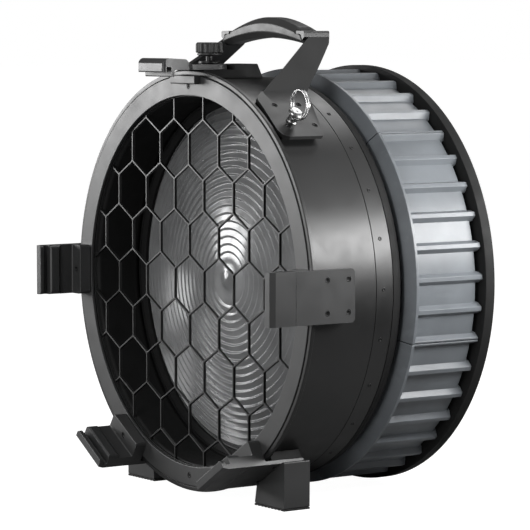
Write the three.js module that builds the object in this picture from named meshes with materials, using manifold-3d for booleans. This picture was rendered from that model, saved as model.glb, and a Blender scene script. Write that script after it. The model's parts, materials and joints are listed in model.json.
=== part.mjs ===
// Fresnel lens attachment for a studio light: a lens barrel with a turning focus grip, a hexagon
// guard, four accessory brackets, two feet, a swivelling top latch and a carrying handle.
// Millimetres. The light shines along -Y, +Z is up, and the origin is under the middle of the part.

import * as THREE from 'three';
import { mergeVertices } from 'three/addons/utils/BufferGeometryUtils.js';
import Module from 'manifold-3d';

const wasm = await Module();
wasm.setup();

// ---- Driving dimensions -------------------------------------------------------------------------

const LENS_DIAMETER = 356;         // the 14 inch class of fresnel lens
const ROUND_SIDES = 48;            // facets of every coaxial ring, all in step with each other
const FIT = 0.3;                   // gap left between pieces that touch
const FRONT_END = -52;             // Y of the accessory brackets' front face
const REAR_END = 221;              // Y of the rear ring's back face
const AXIS_HEIGHT = 217;           // from the floor to the optical axis

const PLATE = { inner: 188, outer: 207.8, thick: 3 };
const RIM = { outer: 213, front: 1, back: 6.3 };
const GUARD = { outer: 193.5, inner: 187.3, front: 3.6, back: 6.6 };
const HEX_PITCH = 52.8;            // across the flats of one guard cell, web centre to web centre
const HEX_WEB = 1.5;
const HEX_ORIGIN = { x: 20.5, z: 41.9 };
const BARREL = { outer: 205.5, inner: 203, front: 6.6, seam: 82, rear: 113 };
const TUBE = { outer: 192.5, inner: 189.5, front: 60.3 };
const DRUM = { outer: 195.8, inner: 193, front: 122, back: 205.6 };
const GRIP = { inner: 196.1, valley: 207, peak: 212.5, flange: 214, front: 119.6, back: 208.5 };
const GRIP_SEGMENTS = 6;
const RIBS = 42;
const SEAM_ANGLE = 45.4;           // one segment seam, in degrees from +X towards +Z
const REAR_RING = { outer: 217, wall: 3.2, flangeInner: 180, front: 209.5, thick: 3 };
const MOUNT = { bore: 66, collar: 72, lug: 78, flange: 92 };

const CELL = { outer: 189.2, inner: 185.2, front: 60, back: 140 };
const FOLLOWER = { radius: 3.5, y: 134, travel: 60, turn: 120, angles: [90, 210, 330] };

const BRACKET = { width: 52, outer: 217, plate: 3.6, rear: 48 };
const BRACKET_ANGLES = { right: 0, left: 180, lower_right: -57.8, lower_left: -122.2 };
const FOOT = { front: 17, back: 48, inner: 92, outer: 143, top: 2.3 };

const STUD_Y = 25.5;
const HANDLE = { normal: 50, face: 214, sheet: 4, bend: 46 };
const EYE = { y: 30, s: 1.3, hole: 221 };

const COLOURS = {
  black: [0x2b2c2e, 0.5, 0.35],
  plate: [0x3a3b3d, 0.42, 0.4],
  inner: [0x121213, 0.85, 0.1],
  grip: [0x6f777c, 0.48, 0.35],
  steel: [0xb8babd, 0.3, 0.9],
  rubber: [0x1c1c1d, 0.9, 0],
  acetal: [0x1e1f20, 0.5, 0],
  glass: [0xcfd4d6, 0.1, 0],
};

// ---- Building helpers ---------------------------------------------------------------------------

const rad = THREE.MathUtils.degToRad;
const light = new THREE.Group();
light.position.set(0, -(FRONT_END + REAR_END) / 2, AXIS_HEIGHT);

// A closed three.js geometry as a solid, with its faces turned out.
function solid(geometry) {
  const bare = geometry.clone();
  bare.deleteAttribute('normal');
  bare.deleteAttribute('uv');
  const merged = mergeVertices(bare, 1e-3);
  const corners = merged.index.array;
  const kept = [];
  for (let i = 0; i < corners.length; i += 3) {
    const [a, b, c] = [corners[i], corners[i + 1], corners[i + 2]];
    if (a !== b && b !== c && c !== a) kept.push(a, b, c);
  }
  const vertProperties = new Float32Array(merged.attributes.position.array);
  const make = (triVerts) => new wasm.Manifold(
    new wasm.Mesh({ numProp: 3, vertProperties, triVerts: new Uint32Array(triVerts) }));
  const first = make(kept);
  return first.volume() > 0 ? first : make(kept.reverse());
}

const join = (solids) => solids.reduce((sum, next) => sum.add(next));

function cut(body, tools) {
  return tools.reduce((left, tool) => left.subtract(tool), body);
}

// Adds a solid to the model as one named mesh.
function addPart(name, body, look) {
  const { vertProperties, triVerts } = body.getMesh();
  const geometry = new THREE.BufferGeometry();
  geometry.setAttribute('position', new THREE.BufferAttribute(new Float32Array(vertProperties), 3));
  geometry.setIndex(new THREE.BufferAttribute(new Uint32Array(triVerts), 1));
  geometry.computeVertexNormals();
  const [color, roughness, metalness] = COLOURS[look];
  const mesh = new THREE.Mesh(geometry, new THREE.MeshStandardMaterial({ color, roughness, metalness }));
  mesh.name = name;
  light.add(mesh);
}

// A ring round the optical axis from a closed outline of [radius, y] points.
function ring(outline, sides = ROUND_SIDES) {
  const points = outline.map(([radius, y]) => new THREE.Vector2(radius, y));
  return solid(new THREE.LatheGeometry([...points, points[0]], sides));
}

const tube = (inner, outer, y0, y1, sides) =>
  ring([[inner, y0], [outer, y0], [outer, y1], [inner, y1]], sides);

// A disc or stepped pin standing on the origin along +Y, from [radius, y] points off the axis.
function turned(outline, sides) {
  const [first, last] = [outline[0], outline[outline.length - 1]];
  const points = [[0, first[1]], ...outline, [0, last[1]]];
  return solid(new THREE.LatheGeometry(points.map(([r, y]) => new THREE.Vector2(r, y)), sides));
}

function shape(points, holes = []) {
  const outline = new THREE.Shape(points.map(([x, y]) => new THREE.Vector2(x, y)));
  outline.holes = holes;
  return outline;
}

// An outline of [x, z] points, carried along Y from y0 to y1.
function alongY(outline, y0, y1) {
  const geometry = new THREE.ExtrudeGeometry(outline, { depth: y1 - y0, bevelEnabled: false });
  geometry.rotateX(Math.PI / 2);
  geometry.translate(0, y1, 0);
  return solid(geometry);
}

// An outline of [y, z] points, carried along X from -width/2 to width/2.
function alongX(outline, width) {
  const geometry = new THREE.ExtrudeGeometry(outline, { depth: width, bevelEnabled: false });
  const [x, y, z] = [new THREE.Vector3(1, 0, 0), new THREE.Vector3(0, 1, 0), new THREE.Vector3(0, 0, 1)];
  geometry.applyMatrix4(new THREE.Matrix4().makeBasis(y, z, x));
  geometry.translate(-width / 2, 0, 0);
  return solid(geometry);
}

// An outline of [x, y] points, carried along Z from z0 to z1.
function alongZ(outline, z0, z1) {
  const geometry = new THREE.ExtrudeGeometry(outline, { depth: z1 - z0, bevelEnabled: false });
  geometry.translate(0, 0, z0);
  return solid(geometry);
}

function placed(body, matrix) {
  return body.transform(matrix.toArray());
}

// Turns a solid made at the top of the barrel (+Z outward) round to an angle from +X towards +Z.
function roundTo(body, angle) {
  return placed(body, new THREE.Matrix4().makeRotationY(rad(90 - angle)));
}

// A pin with its foot at height z0 and its axis along +Z at (x, y), made at the top of the barrel.
function upright(outline, sides, x, y, z0) {
  const matrix = new THREE.Matrix4().makeTranslation(x, y, z0);
  matrix.multiply(new THREE.Matrix4().makeRotationX(Math.PI / 2));
  return placed(turned(outline, sides), matrix);
}

const rod = (radius, length, sides, x, y, z0) =>
  upright([[radius, 0], [radius, length]], sides, x, y, z0);

// A pin with its axis along +Y.
const axial = (outline, sides, x, z) =>
  placed(turned(outline, sides), new THREE.Matrix4().makeTranslation(x, 0, z));

const polar = (radius, angle) => [radius * Math.cos(rad(angle)), radius * Math.sin(rad(angle))];

const evenly = (count, start = 0) =>
  Array.from({ length: count }, (_, i) => start + (360 * i) / count);

// ---- Front: plate, rim, guard and baffle --------------------------------------------------------

const PLATE_SCREW_ANGLES = [90, 270];
const PLATE_SCREW_RADIUS = 197.5;
const SMALL = { sides: 6, head: 2.6, hole: 3 };

function screwDiscs(angles, radius, head, y0, y1) {
  return join(angles.map((angle) => axial([[head, y0], [head, y1]], SMALL.sides, ...polar(radius, angle))));
}

function buildFront() {
  const holes = screwDiscs(PLATE_SCREW_ANGLES, PLATE_SCREW_RADIUS, SMALL.hole, -1, PLATE.thick + 1);
  addPart('front_plate', tube(PLATE.inner, PLATE.outer, 0, PLATE.thick).subtract(holes), 'plate');
  PLATE_SCREW_ANGLES.forEach((angle, i) => {
    addPart(`front_plate_screw_${i + 1}`,
      screwDiscs([angle], PLATE_SCREW_RADIUS, SMALL.head, 0.3, PLATE.thick), 'steel');
  });

  const seat = PLATE.thick + FIT;
  const lip = PLATE.outer + 0.8;
  addPart('rim_ring', ring([
    [GUARD.outer + FIT, seat], [lip, seat], [lip, RIM.front], [RIM.outer, RIM.front],
    [RIM.outer, RIM.back - 1.6], [RIM.outer - 4, RIM.back], [GUARD.outer + FIT, RIM.back],
  ]), 'black');

  const baffle = { inner: 186.8, outer: 189.2, front: GUARD.back + FIT, flange: BARREL.inner - FIT };
  addPart('front_baffle', ring([
    [baffle.inner, baffle.front], [baffle.flange, baffle.front], [baffle.flange, baffle.front + 2],
    [baffle.outer, baffle.front + 2], [baffle.outer, CELL.front - 2], [baffle.inner, CELL.front - 2],
  ]), 'inner');
}

// The guard is one flat sheet: a ring, with hexagonal holes cut through the disc inside it.
function buildGuard() {
  const rowPitch = HEX_PITCH * Math.sqrt(3) / 2;
  const corner = (HEX_PITCH - HEX_WEB) / Math.sqrt(3);
  const reach = Math.ceil(GUARD.outer / rowPitch) + 1;
  const cell = [];
  for (let i = 0; i < 6; i += 1) cell.push(polar(corner, 30 + 60 * i));
  const cells = [];
  for (let row = -reach; row <= reach; row += 1) {
    for (let column = -reach; column <= reach; column += 1) {
      const x = HEX_ORIGIN.x + HEX_PITCH * (column + (row % 2 ? 0.5 : 0));
      const z = HEX_ORIGIN.z + rowPitch * row;
      if (Math.hypot(x, z) > GUARD.inner + corner) continue;
      cells.push(alongY(shape(cell.map(([u, v]) => [x + u, z + v])), GUARD.front - 1, GUARD.back + 1));
    }
  }
  const clip = axial([[GUARD.inner, GUARD.front - 2], [GUARD.inner, GUARD.back + 2]], ROUND_SIDES, 0, 0);
  const disc = axial([[GUARD.outer, GUARD.front], [GUARD.outer, GUARD.back]], ROUND_SIDES, 0, 0);
  addPart('hex_guard', disc.subtract(join(cells).intersect(clip)), 'black');
}

// ---- Barrel, and the joining ring inside its seam -----------------------------------------------

function buildBarrel() {
  const joint = { front: 76, back: 100 };
  addPart('front_barrel', tube(BARREL.inner, BARREL.outer, BARREL.front, BARREL.seam), 'black');

  const rolled = BARREL.rear - 3;
  addPart('rear_barrel', ring([
    [BARREL.inner, BARREL.seam + FIT], [BARREL.outer, BARREL.seam + FIT], [BARREL.outer, rolled],
    [BARREL.outer - 3, BARREL.rear], [BARREL.inner - 4, BARREL.rear], [BARREL.inner - 4, BARREL.rear - 2],
    [BARREL.inner, BARREL.rear - 2.4],
  ]), 'black');
  addPart('joining_ring', tube(TUBE.outer + FIT, BARREL.inner - FIT, joint.front, joint.back), 'steel');
  addPart('front_slide_ring', tube(TUBE.outer + FIT, DRUM.outer, joint.back + FIT, DRUM.front - FIT), 'acetal');
}

// ---- Focus mechanism ----------------------------------------------------------------------------

// The drum-fixed path of one follower: it climbs along Y as it goes round.
class SlotPath extends THREE.Curve {
  constructor(radius, angle) {
    super();
    this.radius = radius;
    this.angle = angle;
  }

  getPoint(t, target = new THREE.Vector3()) {
    const [x, z] = polar(this.radius, this.angle + FOLLOWER.turn * t);
    return target.set(x, FOLLOWER.y + FOLLOWER.travel * t, z);
  }
}

function buildFocus() {
  const tubeBack = REAR_RING.front - FIT;
  const clear = FOLLOWER.radius + 1.4;
  const slots = FOLLOWER.angles.map((angle) => {
    const outline = [[-clear, FOLLOWER.y - clear], [clear, FOLLOWER.y - clear],
      [clear, FOLLOWER.y + FOLLOWER.travel + clear], [-clear, FOLLOWER.y + FOLLOWER.travel + clear]];
    return roundTo(alongZ(shape(outline), TUBE.inner - 5, TUBE.outer + 5), angle);
  });
  addPart('guide_tube', cut(tube(TUBE.inner, TUBE.outer, TUBE.front, tubeBack), slots), 'inner');

  const cams = FOLLOWER.angles.map((angle) => {
    const mid = (DRUM.inner + DRUM.outer) / 2;
    const section = new THREE.Shape(evenly(6, 30).map((a) => new THREE.Vector2(...polar(6.6, a))));
    const path = new SlotPath(mid, angle);
    const groove = new THREE.ExtrudeGeometry(section, { steps: 9, extrudePath: path, bevelEnabled: false });
    const end = (t) => {
      const turn = angle + FOLLOWER.turn * t;
      return roundTo(rod(6, 14, 8, 0, FOLLOWER.y + FOLLOWER.travel * t, mid - 7), turn);
    };
    return join([solid(groove), end(0), end(1)]);
  });
  addPart('focus_drum', cut(tube(DRUM.inner, DRUM.outer, DRUM.front, DRUM.back), cams), 'steel');
  addPart('rear_slide_ring', tube(DRUM.inner, DRUM.outer, DRUM.back + FIT, tubeBack), 'acetal');

  const pin = rod(FOLLOWER.radius, DRUM.outer - 0.4 - CELL.inner, 8, 0, FOLLOWER.y, CELL.inner);
  FOLLOWER.angles.forEach((angle, i) => addPart(`follower_pin_${i + 1}`, roundTo(pin, angle), 'steel'));
  const pinHoles = FOLLOWER.angles.map((angle) =>
    roundTo(rod(FOLLOWER.radius + FIT, 12, 8, 0, FOLLOWER.y, CELL.inner - 4), angle));

  const shelf = { inner: 176, front: 73, back: 76 };
  const cell = ring([
    [CELL.inner, CELL.front], [CELL.outer, CELL.front], [CELL.outer, CELL.back], [CELL.inner, CELL.back],
    [CELL.inner, shelf.back], [shelf.inner, shelf.back], [shelf.inner, shelf.front], [CELL.inner, shelf.front],
  ]);
  addPart('lens_cell', cut(cell, pinHoles), 'inner');
  addPart('lens_gasket', tube(shelf.inner + 2, CELL.inner - 1, shelf.front - 1.4, shelf.front - FIT), 'rubber');
  addPart('lens_retaining_ring', ring([
    [LENS_DIAMETER / 2, CELL.front + 2], [CELL.inner - FIT, CELL.front], [CELL.inner - FIT, CELL.front + 5.6],
    [LENS_DIAMETER / 2, CELL.front + 5.6],
  ]), 'inner');
}

// A stepped lens, dished towards the front and smooth on its back: a domed middle, then zones that slope
// back outwards and step forward again.
function buildLens() {
  const back = 71.3;
  const edge = LENS_DIAMETER / 2 + 5;
  const zones = 4;
  const zoneWidth = (LENS_DIAMETER / 2 - 2) / zones;
  const dish = (r) => back - 23.3 + 15.5 * (r / edge) ** 2;
  const high = (r) => [r, dish(r)];
  const low = (r) => [r, dish(r) + 3.5];
  const outline = [[0, dish(0) - 3.5], [zoneWidth / 2, dish(0) - 1.6], low(zoneWidth)];
  for (let zone = 1; zone < zones; zone += 1) {
    outline.push(high(zoneWidth * zone + 1.2), low(zoneWidth * (zone + 1)));
  }
  outline.push([zoneWidth * zones + 1, back - 5], [edge, back - 5], [edge, back], [172, back]);
  outline.push([130, back - 4.7], [90, back - 8.3], [45, back - 10.7], [0, back - 11.3]);
  const profile = outline.map(([r, y]) => new THREE.Vector2(r, y));
  addPart('lens', solid(new THREE.LatheGeometry(profile, ROUND_SIDES)), 'glass');
}

// ---- Focus grip ---------------------------------------------------------------------------------

function buildGrip() {
  const body = ring([
    [GRIP.inner, GRIP.front], [201, GRIP.front], [GRIP.flange, 125], [GRIP.flange, 128],
    [GRIP.valley, 130.5], [GRIP.valley, 203.5], [201, GRIP.back], [GRIP.inner, GRIP.back],
  ], 2 * RIBS);
  const root = { width: 6.6, radius: 199.5 };
  const section = shape([[-root.width, root.radius], [root.width, root.radius], [root.width, 206.4],
    [2.3, GRIP.peak], [-2.3, GRIP.peak], [-root.width, 206.4]]);
  const rib = alongY(section, 127, GRIP.back);
  const ribs = evenly(RIBS, SEAM_ANGLE).map((angle) => roundTo(rib, angle));
  const whole = join([body, ...ribs]);
  const span = 360 / GRIP_SEGMENTS;
  const seam = 0.1;
  for (let i = 0; i < GRIP_SEGMENTS; i += 1) {
    const start = SEAM_ANGLE + span * i;
    const far = GRIP.flange * 1.3;
    const wedge = [[0, 0], polar(far, start + seam), polar(far, start + span / 2), polar(far, start + span - seam)];
    const sector = alongY(shape(wedge), GRIP.front - 5, GRIP.back + 5);
    addPart(`grip_segment_${i + 1}`, whole.intersect(sector), 'grip');
  }
}

// ---- Rear ring, rear plate and bayonet mount ----------------------------------------------------

function buildRear() {
  const flangeBack = REAR_RING.front + REAR_RING.thick;
  const wall = REAR_RING.outer - REAR_RING.wall;
  const plateBack = REAR_RING.front - FIT;
  const plateScrews = { angles: evenly(8, 22.5), radius: 184.6 };
  const mountScrews = { angles: evenly(4, 45), radius: 86 };
  const screwHoles = screwDiscs(plateScrews.angles, plateScrews.radius, SMALL.hole,
    REAR_RING.front - 5, flangeBack + 5);
  addPart('rear_ring', ring([
    [REAR_RING.flangeInner, REAR_RING.front], [REAR_RING.outer, REAR_RING.front], [REAR_RING.outer, REAR_END],
    [wall, REAR_END], [wall, flangeBack], [REAR_RING.flangeInner, flangeBack],
  ]).subtract(screwHoles), 'black');
  addPart('rear_plate', tube(MOUNT.bore, TUBE.inner - FIT, plateBack - 3, plateBack).subtract(screwHoles), 'inner');

  const collar = ring([
    [MOUNT.bore, REAR_RING.front], [MOUNT.flange, REAR_RING.front], [MOUNT.flange, flangeBack],
    [MOUNT.collar, flangeBack], [MOUNT.collar, REAR_END - 0.3], [MOUNT.bore, REAR_END - 0.3],
  ]);
  const lug = alongZ(shape([[-14, REAR_END - 4.3], [14, REAR_END - 4.3], [14, REAR_END - 1.3],
    [-14, REAR_END - 1.3]]), MOUNT.collar - 3, MOUNT.lug);
  const lugs = evenly(4).map((angle) => roundTo(lug, angle));
  const mountHoles = screwDiscs(mountScrews.angles, mountScrews.radius, SMALL.hole,
    REAR_RING.front - 1, flangeBack + 1);
  addPart('mount_ring', join([collar, ...lugs]).subtract(mountHoles), 'steel');
}

// ---- Accessory brackets and feet ----------------------------------------------------------------

// Side view of a bracket, front to back: front lip, narrow groove, second lip, floor, raised block,
// then the plate that reaches back over the rim.
const BRACKET_SECTION = [
  [FRONT_END + 4, BRACKET.outer], [FRONT_END, BRACKET.outer - 4], [FRONT_END, 208], [-47, 208],
  [-47, 212.5], [-41.5, 212.5], [-41.5, 203.5], [-40, 202], [-31.5, 202], [-27.5, 205.5],
  [-11, 205.5], [-11, 196.5], [-8.5, 191], [-0.4, 187.5], [-0.4, BRACKET.outer - BRACKET.plate],
  [BRACKET.rear, BRACKET.outer - BRACKET.plate], [BRACKET.rear, BRACKET.outer],
];
const BRACKET_SCREWS = [[-16, 17], [16, 17], [-16, 42], [16, 42]];
const RECESS = { radius: 3.7, depth: 2.9 };

// Recesses for countersunk screw heads in a face at the given height.
const recesses = (points, face) =>
  join(points.map(([x, y]) => rod(RECESS.radius, RECESS.depth + 3, SMALL.sides, x, y, face - RECESS.depth)));

function buildBrackets() {
  const chamfer = 5;
  const half = BRACKET.width / 2;
  const outline = shape([[-half, FRONT_END - 1], [half, FRONT_END - 1], [half, BRACKET.rear - chamfer],
    [half - chamfer, BRACKET.rear], [chamfer - half, BRACKET.rear], [-half, BRACKET.rear - chamfer]]);
  const trim = alongZ(outline, 150, 250);
  const blockScrew = rod(2.6, 4, SMALL.sides, 0, -6, 190.2);
  const blockHole = rod(3, 8.4, SMALL.sides, 0, -6, 186);
  const bracket = cut(alongX(shape(BRACKET_SECTION), BRACKET.width).intersect(trim),
    [recesses(BRACKET_SCREWS, BRACKET.outer), blockHole]);

  const bore = axial([[BARREL.outer + FIT, 0], [BARREL.outer + FIT, 100]], ROUND_SIDES, 0, 0);
  const block = (reach, back) => alongZ(shape([[-reach, 7.5], [reach, 7.5], [reach, back], [-reach, back]]),
    195, BRACKET.outer - BRACKET.plate - FIT);
  const sideSpacer = block(20, BRACKET.rear - 2);
  const lowerSpacer = block(half, BRACKET.rear).intersect(trim);

  for (const [side, angle] of Object.entries(BRACKET_ANGLES)) {
    const spacer = side.startsWith('lower') ? lowerSpacer : sideSpacer;
    addPart(`${side}_bracket`, roundTo(bracket, angle), 'plate');
    addPart(`${side}_bracket_spacer`, roundTo(spacer, angle).subtract(bore), 'inner');
    addPart(`${side}_block_screw`, roundTo(blockScrew, angle), 'steel');
  }
}

// Each foot is a wedge that brings the sloping lower bracket down to a level sole.
function buildFeet() {
  const [nx, nz] = polar(BRACKET.outer + FIT, BRACKET_ANGLES.lower_right);
  const [tx, tz] = polar(1, BRACKET_ANGLES.lower_right + 90);
  const onBracket = (t) => [nx + t * tx, nz + t * tz];
  const sole = FOOT.top - AXIS_HEIGHT;
  const outline = [onBracket(-24), [FOOT.inner, sole], [FOOT.outer, sole], [FOOT.outer, sole + 6],
    onBracket(25.5)];
  const pad = [[FOOT.inner, sole - FIT], [FOOT.inner, -AXIS_HEIGHT], [FOOT.outer, -AXIS_HEIGHT],
    [FOOT.outer, sole - FIT]];
  for (const [side, sign] of [['right', 1], ['left', -1]]) {
    const mirrored = (points) => shape(points.map(([x, z]) => [sign * x, z]));
    addPart(`${side}_foot`, alongY(mirrored(outline), FOOT.front, FOOT.back), 'black');
    addPart(`${side}_foot_pad`, alongY(mirrored(pad), FOOT.front, FOOT.back), 'rubber');
  }
}

// ---- Top latch ----------------------------------------------------------------------------------

const LATCH = { base: 34, baseTop: 213.5, rise: 219.3, armFoot: 213.8, armTop: 219, hookTop: 224 };
const HOOK = { front: -45.5, half: 24, neck: 17.5 };
const KNOB = { radius: 14, foot: 227, top: 241, hub: 5.6 };
const COLLAR = { radius: 11, height: 3 };

function buildLatch() {
  const bore = axial([[BARREL.outer + FIT, 0], [BARREL.outer + FIT, 100]], ROUND_SIDES, 0, 0);
  const stud = { radius: 4, hole: 4.4, top: 236 };
  const studHole = rod(stud.hole, 40, 12, 0, STUD_Y, 190);
  const base = alongX(shape([[7.5, 200], [80, 200], [80, 204.5], [73, LATCH.rise], [47.5, LATCH.rise],
    [47.5, LATCH.baseTop], [7.5, LATCH.baseTop]]), LATCH.base);
  addPart('latch_base', base.subtract(bore).subtract(studHole), 'black');

  const studFoot = BARREL.outer + 1.2;
  addPart('latch_stud', upright([[stud.radius, 0], [stud.radius, stud.top - studFoot]], 12, 0, STUD_Y, studFoot),
    'steel');

  // Plan of the arm: a round end about the stud, a neck, and a wide hooked front.
  const plan = new THREE.Shape();
  plan.moveTo(HOOK.half, HOOK.front);
  plan.lineTo(HOOK.half, -14);
  plan.lineTo(HOOK.neck, -6);
  plan.lineTo(HOOK.neck, STUD_Y);
  plan.absarc(0, STUD_Y, HOOK.neck, 0, Math.PI, false);
  plan.lineTo(-HOOK.neck, -6);
  plan.lineTo(-HOOK.half, -14);
  plan.lineTo(-HOOK.half, HOOK.front);
  const planGeometry = new THREE.ExtrudeGeometry(plan, { depth: 40, bevelEnabled: false, curveSegments: 8 });
  planGeometry.translate(0, 0, 200);
  const side = alongX(shape([[HOOK.front, LATCH.hookTop], [HOOK.front, 211.5], [HOOK.front + 4, 211.5],
    [HOOK.front + 4, 217], [-36, 217], [-36, 207], [-32, 207], [-32, LATCH.armFoot], [60, LATCH.armFoot],
    [60, LATCH.armTop], [-13, LATCH.armTop], [-18, LATCH.hookTop - 1]]), 2 * HOOK.half);
  addPart('latch_arm', side.intersect(solid(planGeometry)).subtract(studHole), 'plate');

  const collarFoot = LATCH.armTop + FIT;
  const collar = rod(COLLAR.radius, COLLAR.height, 16, 0, STUD_Y, collarFoot);
  addPart('latch_washer', collar.subtract(studHole), 'steel');

  // The knob is a fluted cap on a plain hub, with a blind hole for the stud.
  const hubFoot = collarFoot + COLLAR.height + FIT;
  const hub = rod(KNOB.hub, KNOB.foot - hubFoot + 1, 16, 0, STUD_Y, hubFoot);
  const capHeight = KNOB.top - KNOB.foot;
  const cap = upright([[KNOB.radius, 0], [KNOB.radius, capHeight - 1.4], [KNOB.radius - 1.4, capHeight]], 32,
    0, STUD_Y, KNOB.foot);
  const flutes = evenly(16).map((angle) => {
    const [x, y] = polar(KNOB.radius + 0.6, angle);
    return rod(1.6, capHeight + 2, 4, x, STUD_Y + y, KNOB.foot - 1);
  });
  const socket = rod(stud.hole, stud.top + FIT - hubFoot + 1, 12, 0, STUD_Y, hubFoot - 1);
  addPart('latch_knob', cut(join([hub, cap]), [...flutes, socket]), 'black');

  const rest = alongX(shape([[-7.5, 199.5], [-0.4, 199.5], [-0.4, 208.3], [-7.5, 208.3]]), 44);
  const screw = upright([[2.4, 0], [2.4, 4]], SMALL.sides, 0, -4, 204);
  const hole = rod(2.8, 6, SMALL.sides, 0, -4, 203.7);
  addPart('top_rest_block', rest.subtract(hole), 'black');
  addPart('top_block_screw', screw, 'steel');
}

// ---- Handle -------------------------------------------------------------------------------------

const PLATE_SCREWS = [[-25.5, 23], [5, 22], [-25.5, 51.5], [5, 54.5]];
const LEG_LEAN = new THREE.Vector3(-0.478, 0, 0.878);   // up the near leg's sheet, across Y
const LEG_TOP = 69;
const GRIP_BAR = { y: 105, ends: 69.6, crown: 256, drop: 11, height: 21, depth: 30 };

// One sheet: a base plate flat against the barrel's spacer, bent along Y into the leaning leg.
function handleLeg() {
  const { normal, face, sheet, bend } = HANDLE;
  const plate = shape([[20.5, 17], [20.5 - 3, 9.9], [10.5, 7], [-37, 8], [-bend, 18], [-bend, 73],
    [20.5, 57.5]]);
  const eyeHole = rod(4.4, 12, 10, -EYE.s, EYE.y, face - 8);
  const base = roundTo(cut(alongZ(plate, face - sheet, face), [recesses(PLATE_SCREWS, face), eyeHole]), normal);

  const [nx, nz] = polar(face - sheet / 2, normal);
  const [tx, tz] = polar(bend, normal + 90);
  const origin = new THREE.Vector3(nx + tx, 0, nz + tz);
  const out = new THREE.Vector3(LEG_LEAN.z, 0, -LEG_LEAN.x);
  const toLeg = new THREE.Matrix4().makeBasis(new THREE.Vector3(0, 1, 0), LEG_LEAN, out).setPosition(origin);
  const outline = shape([[18, -2], [72.5, -2], [77, 5], [92.5, 22], [107.5, 40], [118.5, 53.5], [121.5, 61],
    [121.5, LEG_TOP], [93, LEG_TOP], [96, 61], [68, 38], [48, 21.7], [33, 11], [22, 2]]);
  const leg = placed(alongZ(outline, -sheet / 2, sheet / 2), toLeg);
  const tab = placed(alongX(shape([[91, LEG_TOP - 3], [121.5, LEG_TOP - 3], [121.5, LEG_TOP], [91, LEG_TOP]]), 9),
    new THREE.Matrix4().makeTranslation(origin.x + LEG_TOP * LEG_LEAN.x - 3.5, 0, origin.z - LEG_TOP * (1 - LEG_LEAN.z)));
  return join([base, leg, tab]);
}

// The grip bar arches between the legs and is fuller in the middle than at its ends.
function buildGripBar() {
  const { y, ends, crown, drop, height, depth } = GRIP_BAR;
  class Arch extends THREE.Curve {
    getPoint(t, target = new THREE.Vector3()) {
      const x = ends * (2 * t - 1);
      return target.set(x, y, crown - drop * (x / ends) ** 2);
    }
  }
  const flat = 4.6;
  const [tall, deep] = [height / 2, depth / 2];
  const section = shape([[deep, flat], [deep / 2, tall], [-deep / 2, tall], [-deep, flat],
    [-deep, -flat], [-deep / 2, -tall], [deep / 2, -tall], [deep, -flat]]);
  const geometry = new THREE.ExtrudeGeometry(section, { steps: 14, extrudePath: new Arch(), bevelEnabled: false });
  const place = geometry.attributes.position;
  for (let i = 0; i < place.count; i += 1) {
    const along = Math.min(1, Math.abs(place.getX(i)) / ends);
    const middle = crown - drop * along ** 2;
    place.setZ(i, middle + (place.getZ(i) - middle) * (1 - 0.3 * along ** 2));
  }
  const reach = 100;
  const [low, high] = [200, 290];
  const face = (z) => ends + (z - (crown - drop)) * (LEG_LEAN.x / LEG_LEAN.z);
  const beside = shape([[face(low), low], [reach, low], [reach, high], [face(high), high]]);
  const under = shape([[59.6, 249.2], [reach, 249.2], [reach, high], [59.6, high]]);
  const trims = [beside, under].map((outline) => alongY(outline, y - depth, y + depth));
  const mirror = new THREE.Matrix4().makeScale(-1, 1, 1);
  addPart('handle_grip', cut(solid(geometry), [...trims, ...trims.map((trim) => placed(trim, mirror))]), 'black');
}

function buildHandle() {
  const mirror = new THREE.Matrix4().makeScale(-1, 1, 1);
  const body = handleLeg();
  const bore = axial([[BARREL.outer + FIT, 0], [BARREL.outer + FIT, 100]], ROUND_SIDES, 0, 0);
  const spacer = roundTo(alongZ(shape([[16, 12], [-40, 12], [-40, 62], [16, 52]]), 190,
    HANDLE.face - HANDLE.sheet - FIT), HANDLE.normal).subtract(bore);
  addPart('handle_leg_right', body, 'black');
  addPart('handle_leg_left', placed(body, mirror), 'black');
  addPart('handle_spacer_right', spacer, 'inner');
  addPart('handle_spacer_left', placed(spacer, mirror), 'inner');
  buildGripBar();
}

// ---- Safety eye and split ring ------------------------------------------------------------------

function buildEye() {
  const x = -EYE.s;
  const post = upright([[4, -3.9], [4, 0.3], [7.5, 0.3], [7.5, 2.2], [5, 2.6], [5, 11.2], [6.3, 11.8],
    [6.3, 16.4], [5, 17.6]], 12, x, EYE.y, HANDLE.face);
  const hole = alongX(shape(evenly(8, 22.5).map((a) => {
    const [u, v] = polar(3.7, a);
    return [EYE.y + u, EYE.hole + v];
  })), 30);
  addPart('safety_eye', roundTo(post.subtract(placed(hole, new THREE.Matrix4().makeTranslation(x, 0, 0))),
    HANDLE.normal), 'steel');

  // The ring stands square to Y, with its lowest point in the eye.
  const radius = 14.4;
  const wire = 1.7;
  const torus = new THREE.TorusGeometry(radius, wire, 6, 22);
  torus.rotateX(Math.PI / 2);
  torus.translate(x, EYE.y, EYE.hole + radius);
  addPart('split_ring', roundTo(solid(torus), HANDLE.normal), 'steel');
}

buildFront();
buildGuard();
buildBarrel();
buildFocus();
buildLens();
buildGrip();
buildRear();
buildBrackets();
buildFeet();
buildLatch();
buildHandle();
buildEye();

export default light;
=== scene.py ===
"""Fresnel spotlight attachment: the visual model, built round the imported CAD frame.

Pieces are drawn in millimetres in the lamp's own frame: the origin is the middle of the front
plate's front face, the light shines along -Y and +Z is up. piece() carries them into the part's
frame, where the origin is on the floor.
"""
import json
import math

import bmesh
import bpy
from mathutils import Matrix, Vector


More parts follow.
